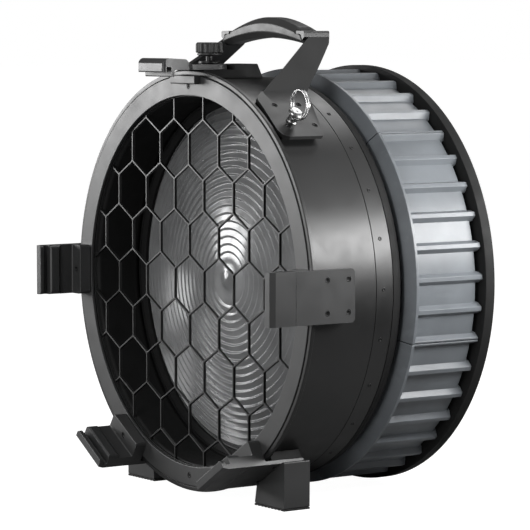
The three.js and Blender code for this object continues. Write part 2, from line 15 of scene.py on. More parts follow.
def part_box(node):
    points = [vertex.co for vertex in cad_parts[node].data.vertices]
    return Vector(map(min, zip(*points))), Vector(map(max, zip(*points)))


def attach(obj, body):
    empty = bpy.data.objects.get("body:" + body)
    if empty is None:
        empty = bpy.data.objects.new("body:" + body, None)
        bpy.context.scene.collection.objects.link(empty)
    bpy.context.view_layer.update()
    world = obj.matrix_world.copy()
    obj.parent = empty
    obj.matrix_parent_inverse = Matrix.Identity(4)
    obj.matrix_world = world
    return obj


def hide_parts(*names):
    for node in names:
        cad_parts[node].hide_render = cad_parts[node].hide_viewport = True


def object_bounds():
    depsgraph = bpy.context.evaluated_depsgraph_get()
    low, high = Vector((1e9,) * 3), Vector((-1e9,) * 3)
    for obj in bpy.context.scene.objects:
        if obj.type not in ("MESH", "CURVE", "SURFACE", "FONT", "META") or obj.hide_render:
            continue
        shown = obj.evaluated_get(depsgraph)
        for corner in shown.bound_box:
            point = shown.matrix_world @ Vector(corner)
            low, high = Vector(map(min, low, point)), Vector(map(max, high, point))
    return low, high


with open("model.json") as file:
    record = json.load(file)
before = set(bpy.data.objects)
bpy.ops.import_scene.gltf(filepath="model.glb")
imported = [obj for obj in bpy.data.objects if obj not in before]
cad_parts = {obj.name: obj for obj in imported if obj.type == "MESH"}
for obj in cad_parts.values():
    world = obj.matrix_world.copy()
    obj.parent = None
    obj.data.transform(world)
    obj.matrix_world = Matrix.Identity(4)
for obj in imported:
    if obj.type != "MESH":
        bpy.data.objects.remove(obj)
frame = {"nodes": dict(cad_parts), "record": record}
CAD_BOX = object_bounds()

# ---- Frame and driving sizes --------------------------------------------------------------------

MM = 0.001
ROUND = 192                      # steps round a coaxial ring
RECORD = frame["record"]
BODY_OF = {n: body for body, names in RECORD["behaviour"]["bodies"].items() for n in names}
SLOT_OF = {row["node"]: row["material_slot"] for row in RECORD["subparts"]}

PLATE_LOW, PLATE_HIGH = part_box("front_plate")
ORIGIN = Vector(((PLATE_LOW.x + PLATE_HIGH.x) / 2, PLATE_LOW.y, (PLATE_LOW.z + PLATE_HIGH.z) / 2))
TO_FRAME = Matrix.Translation(ORIGIN) @ Matrix.Scale(MM, 4)

GRIP_SEGMENTS = 6
RIBS = 42
SEAM_ANGLE = 45.4                # one grip seam, in degrees from +X towards +Z
PLATE_INNER = 188
BARREL_WALL = 2.5
STUD_Y = 25.5
SCREW_HOLE, SCREW_HEAD = 3.0, 2.75      # radii of the small screws' recesses and heads
HANDLE_ANGLE = 50                # the handle's base plates, in degrees from +X towards +Z
SIDE_ANGLES = {"right": 0, "left": 180, "lower_right": -57.8, "lower_left": -122.2}


def span(node):
    """Lowest and highest corner of a CAD node, in the lamp's frame in millimetres."""
    low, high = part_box(node)
    return (low - ORIGIN) / MM, (high - ORIGIN) / MM


def ring_span(node):
    """Outer radius, front and back of a ring round the optical axis."""
    low, high = span(node)
    return high.x, low.y, high.y


def at_angle(angle):
    """Turns a piece made at the top of the barrel (+Z outward) round to its angle."""
    return Matrix.Rotation(math.radians(90 - angle), 4, "Y")


def polar(radius, angle):
    """x and y of a point at an angle in degrees."""
    return radius * math.cos(math.radians(angle)), radius * math.sin(math.radians(angle))


def evenly(count, start=0.0):
    """Angles spread evenly over a full turn."""
    return [start + 360 * i / count for i in range(count)]


GRIP_FRONT, GRIP_BACK = (corner.y for corner in span("grip_segment_1"))
TO_FRONT = Matrix.Rotation(math.radians(90), 4, "X")    # turns +Z to -Y
TO_BACK = Matrix.Rotation(math.radians(-90), 4, "X")    # turns +Z to +Y


# ---- Outlines and meshes ------------------------------------------------------------------------

def rounded(points, radius, steps=3, closed=True):
    """An outline with an arc in place of each corner. A point's third number is its own radius."""
    out = []
    count = len(points)
    for i, point in enumerate(points):
        here = Vector(point[:2])
        if not closed and i in (0, count - 1):
            out.append(here)
            continue
        before = Vector(points[i - 1][:2]) - here
        after = Vector(points[(i + 1) % count][:2]) - here
        wanted = point[2] if len(point) > 2 else radius
        room = 0.45 * min(before.length, after.length)
        before.normalize()
        after.normalize()
        half = max(before.angle(after, math.pi) / 2, 0.05)
        back = min(wanted / math.tan(half), room)
        inward = before + after
        centre = here
        if inward.length > 1e-6:
            centre = here + inward.normalized() * (back / math.cos(half))
        start, end = here + before * back - centre, here + after * back - centre
        sweep = math.pi - 2 * half
        if start.x * end.y - start.y * end.x < 0:
            sweep = -sweep
        for step in range(steps + 1):
            turn = Matrix.Rotation(sweep * step / steps, 2)
            out.append(centre + turn @ start)
    return out


def loft(loops, joined=False):
    """A skin through loops with the same number of points. It is capped, or joined end to end."""
    mesh = bmesh.new()
    rows = [[mesh.verts.new(point) for point in loop] for loop in loops]
    pairs = list(zip(rows, rows[1:]))
    if joined:
        pairs.append((rows[-1], rows[0]))
    for one, two in pairs:
        for i in range(len(one)):
            mesh.faces.new((one[i - 1], one[i], two[i], two[i - 1]))
    if not joined:
        mesh.faces.new(rows[0])
        mesh.faces.new(rows[-1])
    bmesh.ops.remove_doubles(mesh, verts=mesh.verts, dist=1e-4)
    bmesh.ops.recalc_face_normals(mesh, faces=mesh.faces)
    return mesh


def revolve(outline, steps=ROUND):
    """A closed outline of (radius, y) points, turned round the optical axis."""
    loops = []
    for angle in evenly(steps):
        cos, sin = polar(1, angle)
        loops.append([(r * cos, y, r * sin) for r, y in outline])
    return loft(loops, joined=True)


def pin(profile, steps=40):
    """Circles of (radius, z) stacked along +Z."""
    return loft([[(*polar(r, a), z) for a in evenly(steps)] for r, z in profile])


def rod(radius, low, high, steps=32):
    """A plain cylinder along +Z."""
    return pin([(radius, low), (radius, high)], steps)


def prism(outline, low, high, along):
    """An outline carried along an axis: (y, z) along x, (x, z) along y, or (x, y) along z."""
    place = "xyz".index(along)

    def corner(u, v, w):
        point = [u, v]
        point.insert(place, w)
        return point

    return loft([[corner(u, v, w) for u, v in outline] for w in (low, high)])


def moved(mesh, x=0, y=0, z=0, turn=None):
    """The same mesh, turned and then shifted."""
    mesh.transform(Matrix.Translation((x, y, z)) @ (turn or Matrix.Identity(4)))
    return mesh


def copied(mesh, matrix):
    copy = mesh.copy()
    copy.transform(matrix)
    return copy


def together(meshes):
    """Several meshes as one, each left whole."""
    whole = bmesh.new()
    for mesh in meshes:
        data = bpy.data.meshes.new("part")
        mesh.to_mesh(data)
        mesh.free()
        whole.from_mesh(data)
        bpy.data.meshes.remove(data)
    return whole


def arrayed(mesh, matrices):
    """One mesh made of copies of another, which is used up."""
    copies = [copied(mesh, matrix) for matrix in matrices]
    mesh.free()
    return together(copies)


def facing_back(radius, y, angles):
    """Places on a circle round the optical axis, for a mesh made along +Z that faces the back."""
    return [Matrix.Translation((x, y, z)) @ TO_BACK for x, z in (polar(radius, a) for a in angles)]


def carve(body, tool, operation="DIFFERENCE"):
    """body cut by tool, cut down to it, or joined with it."""
    made = []
    for mesh in (body, tool):
        data = bpy.data.meshes.new("carving")
        mesh.to_mesh(data)
        mesh.free()
        made.append(bpy.data.objects.new("carving", data))
        bpy.context.collection.objects.link(made[-1])
    boolean = made[0].modifiers.new("carve", "BOOLEAN")
    boolean.object = made[1]
    boolean.operation = operation
    boolean.solver = "EXACT"
    result = bmesh.new()
    result.from_object(made[0], bpy.context.evaluated_depsgraph_get())
    for item in made:
        bpy.data.meshes.remove(item.data)
    return result


# ---- Materials ----------------------------------------------------------------------------------

class Finish:
    """A material being put together round its shader, in the object's own coordinates."""

    def __init__(self, name, **values):
        self.material = bpy.data.materials.new(name)
        self.material.use_nodes = True
        self.tree = self.material.node_tree
        self.shader = self.tree.nodes["Principled BSDF"]
        for socket, value in values.items():
            self.shader.inputs[socket.replace("_", " ")].default_value = value
        self.place = self.node("ShaderNodeTexCoord").outputs["Object"]

    def node(self, kind, inputs=None, **settings):
        made = self.tree.nodes.new(kind)
        for setting, value in settings.items():
            setattr(made, setting, value)
        for socket, value in (inputs or {}).items():
            if isinstance(value, bpy.types.NodeSocket):
                self.tree.links.new(value, made.inputs[socket])
            else:
                made.inputs[socket].default_value = value
        return made

    def noise(self, size, detail=3.0, stretch=(1, 1, 1), place=None):
        """Noise whose lumps are about size millimetres across, stretched along the axes."""
        scale = [1 / (size * MM * s) for s in stretch]
        mapped = self.node("ShaderNodeMapping", {"Vector": place or self.place, "Scale": scale})
        made = self.node("ShaderNodeTexNoise",
                         {"Vector": mapped.outputs[0], "Scale": 1.0, "Detail": detail})
        return made.outputs[0]

    def spread(self, value, low, high, from_low=0.3, from_high=0.7):
        """The value carried from one range to another. Noise mostly stays between 0.3 and 0.7."""
        made = self.node("ShaderNodeMapRange", {"Value": value, "From Min": from_low, "To Min": low,
                                                "From Max": from_high, "To Max": high})
        return made.outputs[0]

    def maths(self, operation, one, two):
        return self.node("ShaderNodeMath", {0: one, 1: two}, operation=operation).outputs[0]

    def mix(self, factor, one, two):
        made = self.node("ShaderNodeMixRGB", {"Fac": factor, "Color1": one, "Color2": two})
        return made.outputs[0]

    def edges(self, radius, strength):
        """1 on outside edges, 0 on open faces: the mask of a painted edge highlight, in patches."""
        soft = self.node("ShaderNodeBevel", {"Radius": radius * MM}, samples=4).outputs[0]
        sharp = self.node("ShaderNodeNewGeometry").outputs["Normal"]
        dot = self.node("ShaderNodeVectorMath", {0: soft, 1: sharp}, operation="DOT_PRODUCT")
        edge_highlight = self.spread(dot.outputs["Value"], strength, 0, 0.86, 0.985)
        return self.maths("MULTIPLY", edge_highlight, self.spread(self.noise(4, 4), 0.15, 1, 0.4, 0.65))

    def around(self, size, detail):
        """Noise in fine circles round the optical axis, size millimetres apart."""
        parts = self.node("ShaderNodeSeparateXYZ", {0: self.place}).outputs
        height = self.maths("SUBTRACT", parts[2], ORIGIN.z)
        square = self.maths("ADD", self.maths("MULTIPLY", parts[0], parts[0]),
                            self.maths("MULTIPLY", height, height))
        radius = self.maths("POWER", square, 0.5)
        place = self.node("ShaderNodeCombineXYZ", {0: radius, 1: parts[1], 2: 0.0}).outputs[0]
        return self.noise(size, detail, place=place)

    def wire(self, colour=None, roughness=None, height=None, depth=0.02):
        """Links what was made to the shader. depth is the height of the bumps in millimetres."""
        links = {"Base Color": colour, "Roughness": roughness}
        if height is not None:
            bump = self.node("ShaderNodeBump",
                             {"Height": height, "Distance": depth * MM, "Strength": 1.0})
            links["Normal"] = bump.outputs[0]
        for socket, value in links.items():
            if value is not None:
                self.tree.links.new(value, self.shader.inputs[socket])
        return self.material


def grey(level, blue=0.0):
    """A grey, drawn towards blue."""
    return (level, level * (1 + blue / 2), level * (1 + blue), 1)


def painted(name, level, roughness, grain, depth, edge_highlight, blue=0.02, gloss=0.5):
    """Paint or anodising over metal: fine grain, slow drifts of tone, and a painted edge highlight.
    """
    finish = Finish(name, Specular_IOR_Level=gloss)
    drift = finish.spread(finish.noise(60, 4), 0, 1)
    tone = finish.mix(drift, grey(level * 0.82, blue), grey(level * 1.18, blue))
    flecks = finish.spread(finish.noise(grain * 2), 0, 0.35)
    tone = finish.mix(flecks, tone, grey(level * 1.6, blue))
    # Painted highlight: the outside edges are painted lighter.
    tone = finish.mix(finish.edges(0.5, edge_highlight), tone, grey(min(level * 9, 0.5), blue))
    rough = finish.spread(finish.noise(22, 5), roughness * 0.88, roughness * 1.14)
    return finish.wire(tone, rough, finish.noise(grain), depth)


def moulded(name, level, roughness, grain, depth, blue=0.0, scuff=0.3):
    """Moulded plastic or rubber: a spark-eroded grain with faint flow marks and scuffs."""
    finish = Finish(name, Specular_IOR_Level=0.5)
    drift = finish.spread(finish.noise(45, 5), 0, 1)
    tone = finish.mix(drift, grey(level * 0.86, blue), grey(level * 1.14, blue))
    marks = finish.spread(finish.noise(9, 6, (1, 6, 1)), 0, scuff, 0.56, 0.72)
    tone = finish.mix(marks, tone, grey(level * 1.5, blue))
    # Painted highlight: the outside edges are painted lighter.
    tone = finish.mix(finish.edges(0.4, 0.35), tone, grey(min(level * 2.2, 0.6), blue))
    rough = finish.spread(finish.noise(14, 5), roughness * 0.9, roughness * 1.12)
    return finish.wire(tone, rough, finish.noise(grain, 2), depth)


def machined(name, level, roughness, turned=True, depth=0.01):
    """Bare metal with fine tool marks round the axis, or brushed along Y."""
    finish = Finish(name, Metallic=1.0)
    lines = finish.around(0.35, 3) if turned else finish.noise(0.4, 3, (1, 14, 1))
    tone = finish.mix(finish.spread(lines, 0, 1), grey(level * 0.8), grey(level * 1.1))
    tone = finish.mix(finish.spread(finish.noise(12, 5), 0, 0.4, 0.5, 0.8), tone, grey(level * 0.6))
    return finish.wire(tone, finish.spread(lines, roughness * 0.8, roughness * 1.3), lines, depth)


def polished(name, level):
    """Plated metal with a faint haze."""
    finish = Finish(name, Metallic=1.0)
    haze = finish.noise(3, 5)
    tone = finish.mix(finish.spread(haze, 0, 1), grey(level * 0.9), grey(level))
    return finish.wire(tone, finish.spread(haze, 0.20, 0.32), finish.noise(2.5, 3), 0.0008)


def lens_glass(name):
    """Moulded glass: a faint cast, ripples from the mould and a light frost on the ridges."""
    finish = Finish(name, Transmission_Weight=0.35, Metallic=0.12, IOR=1.5, Specular_IOR_Level=0.8)
    tone = finish.mix(finish.spread(finish.noise(30, 3), 0, 1), grey(0.22, 0.03), grey(0.30, 0.03))
    rough = finish.spread(finish.noise(6, 4), 0.17, 0.25)
    return finish.wire(tone, rough, finish.noise(2.5, 3), 0.004)


MATERIALS = {
    "black_paint": painted("black_paint", 0.008, 0.37, 0.35, 0.010, 0.5),
    "satin_black_plate": painted("satin_black_plate", 0.030, 0.40, 0.30, 0.010, 0.45),
    "inner_black": painted("inner_black", 0.007, 0.70, 0.40, 0.030, 0.1, gloss=0.22),
    "grip_plastic": moulded("grip_plastic", 0.115, 0.36, 0.35, 0.015, blue=0.18),
    "slide_plastic": moulded("slide_plastic", 0.020, 0.45, 0.4, 0.015),
    "knob_plastic": moulded("knob_plastic", 0.020, 0.42, 0.4, 0.015),
    "handle_plastic": moulded("handle_plastic", 0.030, 0.45, 0.45, 0.025),
    "black_rubber": moulded("black_rubber", 0.014, 0.78, 0.5, 0.04),
    "bare_aluminium": machined("bare_aluminium", 0.62, 0.28),
    "mount_steel": machined("mount_steel", 0.52, 0.24),
    "screw_steel": machined("screw_steel", 0.045, 0.40, turned=False),
    "bright_chrome": polished("bright_chrome", 0.50),
    "lens_glass": lens_glass("lens_glass"),
}


# ---- Pieces -------------------------------------------------------------------------------------

def soften(item, bevel):
    """Rounds the edges that a mesh leaves sharp, and keeps its flat faces flat."""
    if bevel:
        edge = item.modifiers.new("edges", "BEVEL")
        edge.width = bevel * MM
        edge.segments = 3
        edge.limit_method = "ANGLE"
        edge.angle_limit = math.radians(32)
        edge.harden_normals = False
    item.modifiers.new("normals", "WEIGHTED_NORMAL")


def piece(name, mesh, slot, body, bevel=0.0, turn=None):
    """A finished mesh in the part's frame, riding on its body with its material."""
    mesh.transform(TO_FRAME @ (turn or Matrix.Identity(4)))
    data = bpy.data.meshes.new(name)
    mesh.to_mesh(data)
    mesh.free()
    data.polygons.foreach_set("use_smooth", [True] * len(data.polygons))
    data.materials.append(MATERIALS[slot])
    item = bpy.data.objects.new(name, data)
    bpy.context.collection.objects.link(item)
    soften(item, bevel)
    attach(item, body)
    return item


def fine(node, mesh, bevel=0.0, turn=None, slot=None):
    """The visual piece that stands for one CAD node."""
    item = piece(f"{node}_fine", mesh, slot or SLOT_OF[node], BODY_OF[node], bevel, turn)
    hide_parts(node)
    return item


def socket_screw(radius, rise, socket, sink=1.0):
    """A screw head standing on z = 0: a rounded rim and a hexagon socket."""
    angles = evenly(24)
    apothem = socket * math.cos(math.radians(30))
    socket_depth = 1.3

    def circle(r, z):
        return [(*polar(r, a), z) for a in angles]

    def hexagon(z):
        flats = [apothem / math.cos(math.radians((a + 30) % 60 - 30)) for a in angles]
        return [(*polar(r, a), z) for r, a in zip(flats, angles)]

    soft = min(0.45, radius * 0.2)
    return loft([circle(radius, -sink), circle(radius, rise - soft),
                 circle(radius - soft * 0.3, rise - soft * 0.3), circle(radius - soft, rise),
                 hexagon(rise), hexagon(rise - socket_depth)])


def screw_recesses(places, face):
    """Cutters for countersunk screws at (x, y) in a plate whose outer face is at z = face."""
    profile = [(2.2, face - 3.0), (SCREW_HOLE, face - 0.9), (SCREW_HOLE, face + 1)]
    return [moved(pin(profile, 32), x, y) for x, y in places]


def screw_heads(places, face):
    """Screw heads that lie in screw_recesses()."""
    depth = 0.6
    return together([moved(socket_screw(SCREW_HEAD, 0, 1.6, 0.8), x, y, face - depth)
                     for x, y in places])


# ---- Front: plate, rim, guard, baffle and lens --------------------------------------------------

def build_front():
    screw_radius = 197.5
    outer, front, back = ring_span("front_plate")
    plate = revolve(rounded([(PLATE_INNER, front), (outer, front), (outer, back),
                             (PLATE_INNER, back)], 0.6))
    screw_front = span("front_plate_screw_1")[0].y
    holes = [moved(rod(SCREW_HOLE, -1, back + 2, 40), 0, back + 1, sign * screw_radius, TO_FRONT)
             for sign in (1, -1)]
    fine("front_plate", carve(plate, together(holes)), bevel=0.25)
    for number, sign in ((1, 1), (2, -1)):
        screw = moved(socket_screw(2.6, 0, 1.3, 2.0), 0, screw_front, sign * screw_radius, TO_FRONT)
        fine(f"front_plate_screw_{number}", screw)

    rim, rim_front, rim_back = ring_span("rim_ring")
    inner = ring_span("hex_guard")[0] + 0.3
    lip = outer + 0.8
    seat = back + 0.3
    fine("rim_ring", revolve(rounded([
        (inner, seat), (lip, seat, 0.2), (lip, rim_front), (rim, rim_front, 1.0),
        (rim, rim_back - 1.6), (rim - 4, rim_back), (inner, rim_back)], 0.4)))

    baffle_inner, baffle_outer, baffle_wall = 186.8, 189.2, 2.0
    flange, baffle_front, baffle_back = ring_span("front_baffle")
    threads, plain, thread_depth = 12, 4, 0.7
    pitch = (baffle_back - baffle_front - 2 * plain) / threads
    inside = [(baffle_inner, baffle_back)]
    for i in range(threads, 0, -1):
        y = baffle_front + plain + pitch * i
        inside += [(baffle_inner, y), (baffle_inner + thread_depth, y - pitch * 0.5)]
    inside.append((baffle_inner, baffle_front))
    shoulder = baffle_front + baffle_wall
    outside = [(flange, baffle_front), (flange, shoulder), (baffle_outer, shoulder),
               (baffle_outer, baffle_back)]
    fine("front_baffle", revolve(inside + outside))


def build_guard():
    """A flat sheet cut into hexagons, with a plain ring round them."""
    pitch, web, centre_x, centre_z, inner = 52.8, 1.5, 20.5, 41.9, 187.3
    outer, front, back = ring_span("hex_guard")
    row_pitch = pitch * math.sqrt(3) / 2
    corner = (pitch - web) / math.sqrt(3)
    cell = rounded([polar(corner, 30 + 60 * i) for i in range(6)], 1.6, 2)
    reach = math.ceil(outer / row_pitch) + 1
    cells = []
    for row in range(-reach, reach + 1):
        for column in range(-reach, reach + 1):
            x = centre_x + pitch * (column + (0.5 if row % 2 else 0))
            z = centre_z + row_pitch * row
            if math.hypot(x, z) < inner + corner:
                cells.append(prism([(x + u, z + v) for u, v in cell], front - 1, back + 1, "y"))
    clip = moved(rod(inner, 0, back - front + 4, ROUND), 0, front - 2, 0, TO_BACK)
    disc = moved(rod(outer, 0, back - front, ROUND), 0, front, 0, TO_BACK)
    fine("hex_guard", carve(disc, carve(together(cells), clip, "INTERSECT")), bevel=0.3)


def build_lens():
    """A stepped lens, dished forward: a smooth middle, then zones that slope ever more steeply."""
    radius, front, back = ring_span("lens")
    zones, middle, middle_fall, sag = 21, 11.0, 3.2, 15.5
    clear = radius - 6
    pitch = (clear - middle) / zones
    riser = pitch * 0.28
    outline = [(middle * t, front + middle_fall * t * t) for t in (0, 0.25, 0.5, 0.75, 1.0)]
    for zone in range(zones):
        start = middle + pitch * zone
        fall = 0.7 + 2.9 * (zone + 1) / zones
        for r, drop in ((start + riser, 0), (start + pitch, fall)):
            outline.append((r, front + 3.5 + sag * (r / radius) ** 2 + drop))
    outline += [(clear + 1, back - 5.1), (radius, back - 5), (radius, back - 0.6),
                (radius - 0.6, back)]
    dish = [(172, 0), (130, 4.7), (90, 8.3), (45, 10.7), (0, 11.3)]
    outline += [(r, back - depth) for r, depth in dish]
    fine("lens", revolve(outline), bevel=0.35)

    outer, ring_front, ring_back = ring_span("lens_retaining_ring")
    inner = 178
    fine("lens_retaining_ring", revolve(rounded([
        (inner, ring_front + 2), (outer, ring_front), (outer, ring_back), (inner, ring_back)], 0.5)))


# ---- Barrel -------------------------------------------------------------------------------------

def build_barrel():
    radius, front, seam = ring_span("front_barrel")
    inner = radius - BARREL_WALL
    fine("front_barrel", revolve(rounded(
        [(inner, front), (radius, front), (radius, seam), (inner, seam)], 0.55)))
    joint, back = ring_span("rear_barrel")[1:]
    # Behind Y = 103 the barrel steps in under a thin matte black sheet. The sheet is painted shade:
    # it stands for the shade that the grip's flange casts on the barrel's last few millimetres.
    shade_from = 103
    recess, rolled = radius - 0.9, inner - 4
    fine("rear_barrel", revolve(rounded([
        (inner, joint), (radius, joint, 0.55), (radius, shade_from - 0.8, 0.6), (recess, shade_from, 0.3),
        (recess, back - 4, 3), (radius - 2.4, back - 0.4, 0.6), (rolled, back - 0.4, 0.6),
        (rolled, back - 2, 0.6), (inner, back - 2.4, 0.8)], 0.55, 5)))
    skin = radius - 0.3
    # The painted shade sheet, lying in the barrel's step.
    piece("rear_barrel_shade_sheet", revolve(rounded([
        (radius - 1.2, shade_from + 0.3), (skin, shade_from + 0.3), (skin, back - 5, 4),
        (radius - 2, back, 0.5), (radius - 2.6, back)], 0.2, 5)), "inner_black", "barrel")

    count, first, screw_y = 26, 14.5, 91
    screw = moved(socket_screw(2.1, 0.45, 1.1), 0, screw_y, radius)
    screws = arrayed(screw, [at_angle(angle) for angle in evenly(count, first)])
    piece("barrel_screws", screws, "screw_steel", "barrel")


# ---- Focus grip ---------------------------------------------------------------------------------

def grip_column(rise, shrink):
    """The grip's (radius, y) outline at one place. rise is a rib's radius, or None in a valley."""
    inner, valley, flange, floor = 196.1, 207.0, 214.0, 201.0
    front, back = GRIP_FRONT, GRIP_BACK
    crest_front, crest_back, foot = front + 5.4, front + 8.4, front + 10.9
    slope = (flange - valley) / (foot - crest_back)
    top = max(valley, rise or 0)
    end = max(floor, rise or 0)
    meet = crest_back + (flange - top) / slope
    outline = rounded([
        (inner, front, 0.3), (floor, front, 0.6), (flange, crest_front, 0.8),
        (flange, crest_back, 0.4), (top, meet, 0.7), (top, back - 5, 0.5), (end, back, 0.4),
        (floor - 1, back, 0.2), (inner, back, 0.3)], 0.3)
    return [(r - shrink if r > inner + 1 else r, y) for r, y in outline]


def build_grip():
    """Ribbed segments. A rib is a trapezium with filleted corners, and each seam splits one rib."""
    middle, peak, foot = 209.0, 212.5, 206.4
    base_half, crown_half = 5.6, 2.1
    rib = rounded([(-base_half, foot), (-crown_half, peak), (crown_half, peak), (base_half, foot)],
                  0.6, 4, closed=False)
    width = math.radians(360 / RIBS) * middle
    gap = width - 2 * base_half
    shares = (0, 0.04, 0.2, 0.4, 0.6, 0.8, 0.96, 1)
    valley = [(base_half + 0.05 + (gap - 0.1) * t, None) for t in shares]
    per = RIBS // GRIP_SEGMENTS
    length = per * width
    columns = [(index * width + x, r) for index in range(per + 1) for x, r in [*rib, *valley]]

    seam, lip = 0.42, 0.5
    ends = [(seam, 0.55), (seam + lip * 0.4, 0.16), (seam + lip, 0.0)]
    kept = [(x, r, 0.0) for x, r in columns if seam + lip < x < length - seam - lip]
    kept = ([(x, peak, s) for x, s in ends] + kept
            + [(length - x, peak, s) for x, s in reversed(ends)])
    for number in range(GRIP_SEGMENTS):
        start = SEAM_ANGLE + number * 360 / GRIP_SEGMENTS
        loops = []
        for x, rise, shrink in kept:
            cos, sin = polar(1, start + math.degrees(x / middle))
            loops.append([(r * cos, y, r * sin) for r, y in grip_column(rise, shrink)])
        fine(f"grip_segment_{number + 1}", loft(loops))


# ---- Rear ring, rear plate and bayonet mount ----------------------------------------------------

def build_rear():
    outer, front, back = ring_span("rear_ring")
    wall, flange_inner, thick = 3.2, 180, 3
    flange = front + thick
    plate_circle, plate_angles = 184.6, evenly(8, 22.5)
    mount_circle, mount_angles = 86, evenly(4, 45)

    def holes(radius, y, angles):
        return arrayed(rod(SCREW_HOLE, -6, 6, 24), facing_back(radius, y, angles))

    ring = revolve(rounded([
        (flange_inner, front), (outer, front, 0.8), (outer, back, 1.0), (outer - wall, back, 0.8),
        (outer - wall, flange, 1.2), (flange_inner, flange)], 0.5))
    fine("rear_ring", carve(ring, holes(plate_circle, flange, plate_angles)), bevel=0.3,
         slot="inner_black")

    plate_outer, plate_front, plate_back = ring_span("rear_plate")
    bore, groove = 66, plate_back - 0.8
    fine("rear_plate", revolve(rounded([
        (bore, plate_front), (plate_outer, plate_front), (plate_outer, plate_back),
        (168, plate_back, 0.5), (166, groove, 0.5), (104, groove, 0.5), (102, plate_back, 0.5),
        (bore, plate_back)], 0.5)))

    mount_outer, mount_front, mount_back = ring_span("mount_ring")
    collar, mount_face, lug_half = 72, mount_front + thick, 14
    mount = revolve(rounded([
        (bore, mount_front), (mount_outer, mount_front, 0.6), (mount_outer, mount_face, 1.0),
        (collar, mount_face, 0.8), (collar, mount_back, 1.0), (bore, mount_back, 1.0)], 0.4), 128)
    lug_outline = rounded([(-lug_half, mount_back - 4), (lug_half, mount_back - 4),
                           (lug_half, mount_back - 1), (-lug_half, mount_back - 1)], 0.7)
    lug = prism(lug_outline, collar - 3, collar + 6, "z")
    lugs = arrayed(lug, [at_angle(angle) for angle in evenly(4)])
    mount = carve(carve(mount, lugs, "UNION"), holes(mount_circle, mount_front, mount_angles))
    fine("mount_ring", mount, bevel=0.3)

    circles = [(plate_circle, flange - 0.2, plate_angles),
               (mount_circle, mount_face - 0.2, mount_angles)]
    screws = [arrayed(socket_screw(SCREW_HEAD, 0.0, 1.5, 2.4), facing_back(*circle))
              for circle in circles]
    piece("rear_screws", together(screws), "screw_steel", "barrel")


# ---- Accessory brackets and feet ----------------------------------------------------------------

def corner_tool(x, r, radius, front, back):
    """What is cut off an inner corner at (x, r) to round it. x tells the side of the bracket."""
    side = 1 if x > 0 else -1
    steps, spare = 6, 2
    arc = [(x - side * radius + side * radius * math.cos(a), r + radius - radius * math.sin(a))
           for a in (math.radians(90 * i / steps) for i in range(steps + 1))]
    outline = arc + [(x - side * radius, r - spare), (x + side * spare, r - spare),
                     (x + side * spare, r + radius)]
    return prism(outline, front, back, "y")


def build_brackets():
    """Four plates, each folded into a hooked channel at its front with a block behind it."""
    half, outer, thick, front, rear = 26, 217, 3.6, -52, 48
    lip, ledge, channel, block_top = 206.8, 212.5, 202, 205.5
    block_front, block_back, block_foot = -12.8, -0.4, 189.6
    score = -21.7
    section = rounded([
        (-45.4, outer, 0.4), (front + 0.8, outer - 1.9, 0.6), (front + 0.8, lip, 0.8),
        (-47, lip, 0.8), (-47, ledge, 1.0), (-41.5, ledge, 1.0), (-41.5, channel + 1.5, 0.5),
        (-40, channel, 0.8),
        (-31.5, channel, 1.0), (-27.5, block_top, 1.5), (block_front, block_top, 1.6),
        (block_front, block_foot, 0.8), (block_back, block_foot - 1, 0.8),
        (block_back, outer - thick, 0.8), (rear, outer - thick, 0.4), (rear, outer, 0.6),
        (score + 0.3, outer, 0.1), (score, outer - 0.5, 0.1), (score - 0.3, outer, 0.1)], 0.5)
    plan = rounded([(-half, front - 1), (half, front - 1), (half, rear - 3), (half - 3, rear),
                    (3 - half, rear), (-half, rear - 3)], 1.0)
    body = carve(prism(section, -half, half, "x"), prism(plan, 150, 250, "z"), "INTERSECT")

    corners = [(lip, 4.0, front - 1, -44.5), (channel, 4.5, -43, -28.5),
               (block_foot - 1, 4.5, block_front - 1, 0)]
    tools = [corner_tool(side * half, r, radius, y0, y1)
             for r, radius, y0, y1 in corners for side in (1, -1)]
    screws = [(x, y) for x in (-16, 16) for y in (15, 40)]
    tools += screw_recesses(screws, outer)
    screw_height = 197.6
    tools.append(moved(rod(SCREW_HOLE, 0, 6, 24), 0, block_front + 4, screw_height, TO_FRONT))
    body = carve(body, together(tools))
    block_screw = moved(socket_screw(2.7, 0, 1.4, 3.2), 0, block_front + 0.6, screw_height,
                        TO_FRONT)
    plate_screws = screw_heads(screws, outer)
    for side, angle in SIDE_ANGLES.items():
        turn = at_angle(angle)
        fine(f"{side}_bracket", body.copy(), bevel=0.7, turn=turn)
        fine(f"{side}_block_screw", block_screw.copy(), turn=turn)
        piece(f"{side}_bracket_screws", plate_screws.copy(), "screw_steel", "barrel", turn=turn)
    for mesh in (body, block_screw, plate_screws):
        mesh.free()


